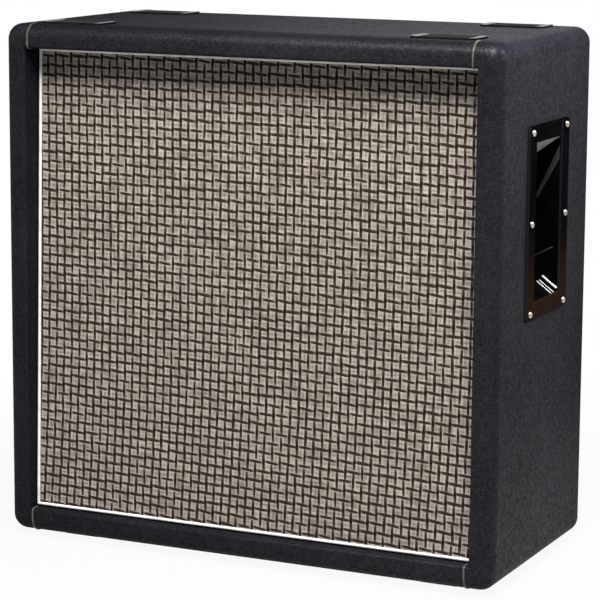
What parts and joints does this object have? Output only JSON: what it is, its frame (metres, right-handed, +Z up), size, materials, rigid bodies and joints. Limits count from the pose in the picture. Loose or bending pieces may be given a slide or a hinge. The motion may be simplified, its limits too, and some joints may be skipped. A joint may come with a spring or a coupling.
{
  "type": "guitar speaker cabinet",
  "caption": "Closed-back guitar speaker cabinet in black vinyl with a leaning woven grille, recessed side handles, stacking trays on top and a rear jack plate.",
  "frame": {"origin": "centre of the bounding box's bottom, on the floor under the feet", "axes": "+X right seen from the front, +Y to the back, +Z up"},
  "size_m": [0.783, 0.3722, 0.7682],
  "materials": {
    "plywood": "raw birch plywood",
    "batten_wood": "planed softwood",
    "baffle_wood": "plywood stained black",
    "vinyl": "black grained vinyl",
    "grille_cloth": "beige weave with dark threads",
    "white_piping": "satin white vinyl",
    "gold_piping": "satin gold-beige vinyl",
    "handle_plastic": "black, slightly glossy",
    "tray_plastic": "black, satin",
    "foot_rubber": "black, matte",
    "handle_screw": "bright nickel",
    "dark_screw": "black oxide",
    "plain_screw": "zinc plated",
    "back_vinyl": "panel covered in black vinyl",
    "jack_plate": "satin black",
    "jack_body": "black moulded plastic",
    "jack_nut": "nickel plated",
    "jack_washer": "nickel plated",
    "wire": "red PVC",
    "basket": "satin grey-black",
    "cone_paper": "dark grey pulp",
    "cap_paper": "dark grey pulp",
    "coil": "copper wire on a paper former",
    "edge_paper": "doped paper",
    "spider_cloth": "resin-stiffened cotton",
    "gasket_card": "grey-brown board",
    "iron": "zinc-plated iron",
    "ferrite": "dark grey ferrite",
    "terminal": "brown laminate"
  },
  "bodies": {
    "cabinet": {"back_panel": "back_vinyl", "back_panel_screws": "dark_screw", "baffle_board": "baffle_wood", "baffle_screws": "dark_screw", "bottom_panel": "plywood", "centre_post": "batten_wood", "cone_edges": "edge_paper", "corner_blocks": "batten_wood", "corner_piping": "gold_piping", "feet": "foot_rubber", "foot_screws": "plain_screw", "front_batten_bottom": "batten_wood", "front_batten_left": "batten_wood", "front_batten_right": "batten_wood", "front_batten_top": "batten_wood", "grille_board": "baffle_wood", "grille_cloth": "grille_cloth", "grille_piping": "white_piping", "handle_screws": "handle_screw", "input_jack": "jack_body", "jack_nut": "jack_nut", "jack_plate": "jack_plate", "jack_plate_screws": "dark_screw", "jack_washer": "jack_washer", "left_handle_bucket": "handle_plastic", "left_handle_plate": "handle_plastic", "left_side_panel": "plywood", "magnets": "ferrite", "pole_yokes": "iron", "rear_cleats": "batten_wood", "right_handle_bucket": "handle_plastic", "right_handle_plate": "handle_plastic", "right_side_panel": "plywood", "speaker_bolts": "plain_screw", "speaker_frame_1": "basket", "speaker_frame_2": "basket", "speaker_frame_3": "basket", "speaker_frame_4": "basket", "speaker_gaskets": "gasket_card", "speaker_wires": "wire", "spiders": "spider_cloth", "stacking_trays": "tray_plastic", "tee_nuts": "plain_screw", "terminal_strips": "terminal", "top_panel": "plywood", "top_plates": "iron", "tray_screws": "dark_screw", "vinyl_covering": "vinyl"},
    "cone_1": {"speaker_cone_1": "cone_paper", "dust_cap_1": "cap_paper", "voice_coil_1": "coil"},
    "cone_2": {"speaker_cone_2": "cone_paper", "dust_cap_2": "cap_paper", "voice_coil_2": "coil"},
    "cone_3": {"speaker_cone_3": "cone_paper", "dust_cap_3": "cap_paper", "voice_coil_3": "coil"},
    "cone_4": {"speaker_cone_4": "cone_paper", "dust_cap_4": "cap_paper", "voice_coil_4": "coil"}
  },
  "joints": [
    {"name": "cone_1_travel", "type": "slide", "parent": "cabinet", "child": "cone_1", "axis": [0, -0.9996, 0.0297], "range_m": [-0.003, 0.003], "stiffness_N_per_m": 8000},
    {"name": "cone_2_travel", "type": "slide", "parent": "cabinet", "child": "cone_2", "axis": [0, -0.9996, 0.0297], "range_m": [-0.003, 0.003], "stiffness_N_per_m": 8000},
    {"name": "cone_3_travel", "type": "slide", "parent": "cabinet", "child": "cone_3", "axis": [0, -0.9996, 0.0297], "range_m": [-0.003, 0.003], "stiffness_N_per_m": 8000},
    {"name": "cone_4_travel", "type": "slide", "parent": "cabinet", "child": "cone_4", "axis": [0, -0.9996, 0.0297], "range_m": [-0.003, 0.003], "stiffness_N_per_m": 8000}
  ],
  "couplings": [
    {"joint": "cone_2_travel", "follows": "cone_1_travel", "ratio": 1},
    {"joint": "cone_3_travel", "follows": "cone_1_travel", "ratio": 1},
    {"joint": "cone_4_travel", "follows": "cone_1_travel", "ratio": 1}
  ]
}
